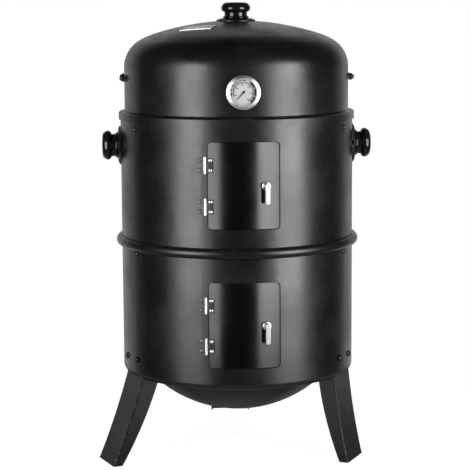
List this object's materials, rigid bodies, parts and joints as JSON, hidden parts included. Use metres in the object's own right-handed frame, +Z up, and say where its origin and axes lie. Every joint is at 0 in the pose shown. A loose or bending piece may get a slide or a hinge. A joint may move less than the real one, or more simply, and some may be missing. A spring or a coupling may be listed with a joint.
{
  "type": "vertical water smoker",
  "caption": "Upright charcoal water smoker: domed lid with thermometer, stacked barrels with latched side doors, knob handles and splayed legs.",
  "frame": {"origin": "on the ground under the feet, on the common axis of the barrels and lid", "axes": "+Z up along the barrels; -Y is the front, with the doors and the thermometer"},
  "size_m": [0.4774, 0.483, 0.78],
  "materials": {
    "body_paint": "satin heat-resistant black",
    "door_paint": "semi-gloss black",
    "hinge_metal": "black leaves, bare zinc knuckles",
    "leg_paint": "satin black",
    "bowl_enamel": "smooth black",
    "black_hardware": "black oxide",
    "knob_plastic": "gloss black, heat resistant",
    "zinc": "bright zinc plate",
    "plated_wire": "plated wire",
    "stainless": "polished rim",
    "dial_face": "silver-white with printed scale",
    "needle_paint": "matte black",
    "dial_glass": "clear",
    "blank_plate_metal": "brushed, blank"
  },
  "bodies": {
    "base": {"lower_barrel": "body_paint", "base_bowl": "bowl_enamel", "leg_front_left": "leg_paint", "leg_front_right": "leg_paint", "leg_rear": "leg_paint", "leg_bolts": "black_hardware", "leg_nuts": "black_hardware", "lower_brackets": "black_hardware", "lower_bracket_screws": "black_hardware", "lower_bracket_nuts": "black_hardware", "lower_hinge_barrel_leaves": "hinge_metal", "lower_hinge_barrel_rivets": "zinc", "lower_hinge_pins": "zinc"},
    "lower_door": {"lower_door": "door_paint", "lower_hinge_door_leaves": "hinge_metal", "lower_hinge_door_rivets": "zinc", "lower_latch_rosette": "zinc"},
    "lower_latch": {"lower_latch_lever": "zinc", "lower_latch_shaft": "zinc", "lower_latch_cam": "zinc", "lower_latch_nut": "zinc"},
    "upper_section": {"upper_barrel": "body_paint", "upper_brackets": "black_hardware", "upper_bracket_screws": "black_hardware", "upper_bracket_nuts": "black_hardware", "upper_hinge_barrel_leaves": "hinge_metal", "upper_hinge_barrel_rivets": "zinc", "upper_hinge_pins": "zinc", "left_handle_knob": "knob_plastic", "right_handle_knob": "knob_plastic", "handle_plates": "black_hardware", "handle_studs": "zinc", "handle_nuts": "zinc"},
    "upper_door": {"upper_door": "door_paint", "upper_hinge_door_leaves": "hinge_metal", "upper_hinge_door_rivets": "zinc", "upper_latch_rosette": "zinc"},
    "upper_latch": {"upper_latch_lever": "zinc", "upper_latch_shaft": "zinc", "upper_latch_cam": "zinc", "upper_latch_nut": "zinc"},
    "lid": {"lid_shell": "body_paint", "lid_knob": "knob_plastic", "lid_knob_plate": "black_hardware", "lid_knob_stud": "zinc", "lid_knob_nut": "zinc", "hanger_bars": "plated_wire", "hanger_cap_nuts": "black_hardware", "blank_plate": "blank_plate_metal", "thermometer_case": "stainless", "thermometer_dial": "dial_face", "thermometer_glass": "dial_glass", "thermometer_stem": "stainless", "thermometer_nut": "stainless"},
    "thermometer_needle": {"thermometer_needle": "needle_paint"},
    "upper_grate": {"upper_grate": "plated_wire"},
    "lower_grate": {"lower_grate": "plated_wire"},
    "water_bowl": {"water_bowl": "bowl_enamel"},
    "charcoal_grate": {"charcoal_grate": "plated_wire"}
  },
  "joints": [
    {"name": "lower_door_hinge", "type": "hinge", "parent": "base", "child": "lower_door", "pos_m": [-0.06331, -0.19256, 0.2541], "axis": [0, 0, -1], "range_deg": [0, 115]},
    {"name": "lower_latch_turn", "type": "hinge", "parent": "lower_door", "child": "lower_latch", "pos_m": [0.03572, -0.19272, 0.2541], "axis": [0.1822, -0.9833, 0], "range_deg": [0, 90]},
    {"name": "upper_section_lift", "type": "slide", "parent": "base", "child": "upper_section", "axis": [0, 0, 1], "range_m": [0, 0.12]},
    {"name": "upper_door_hinge", "type": "hinge", "parent": "upper_section", "child": "upper_door", "pos_m": [-0.06331, -0.19256, 0.4854], "axis": [0, 0, -1], "range_deg": [0, 115]},
    {"name": "upper_latch_turn", "type": "hinge", "parent": "upper_door", "child": "upper_latch", "pos_m": [0.03572, -0.19272, 0.4854], "axis": [0.1822, -0.9833, 0], "range_deg": [0, 90]},
    {"name": "lid_lift", "type": "slide", "parent": "upper_section", "child": "lid", "axis": [0, 0, 1], "range_m": [0, 0.15]},
    {"name": "needle_turn", "type": "hinge", "parent": "lid", "child": "thermometer_needle", "pos_m": [0, -0.1967, 0.637], "axis": [0, 1, 0], "range_deg": [0, 276], "stiffness_Nm_per_rad": 0.0005},
    {"name": "upper_grate_lift", "type": "slide", "parent": "upper_section", "child": "upper_grate", "axis": [0, 0, 1], "range_m": [0, 0.045]},
    {"name": "lower_grate_lift", "type": "slide", "parent": "base", "child": "lower_grate", "axis": [0, 0, 1], "range_m": [0, 0.16]},
    {"name": "water_bowl_lift", "type": "slide", "parent": "base", "child": "water_bowl", "axis": [0, 0, 1], "range_m": [0, 0.01]},
    {"name": "charcoal_grate_lift", "type": "slide", "parent": "base", "child": "charcoal_grate", "axis": [0, 0, 1], "range_m": [0, 0.095]}
  ]
}
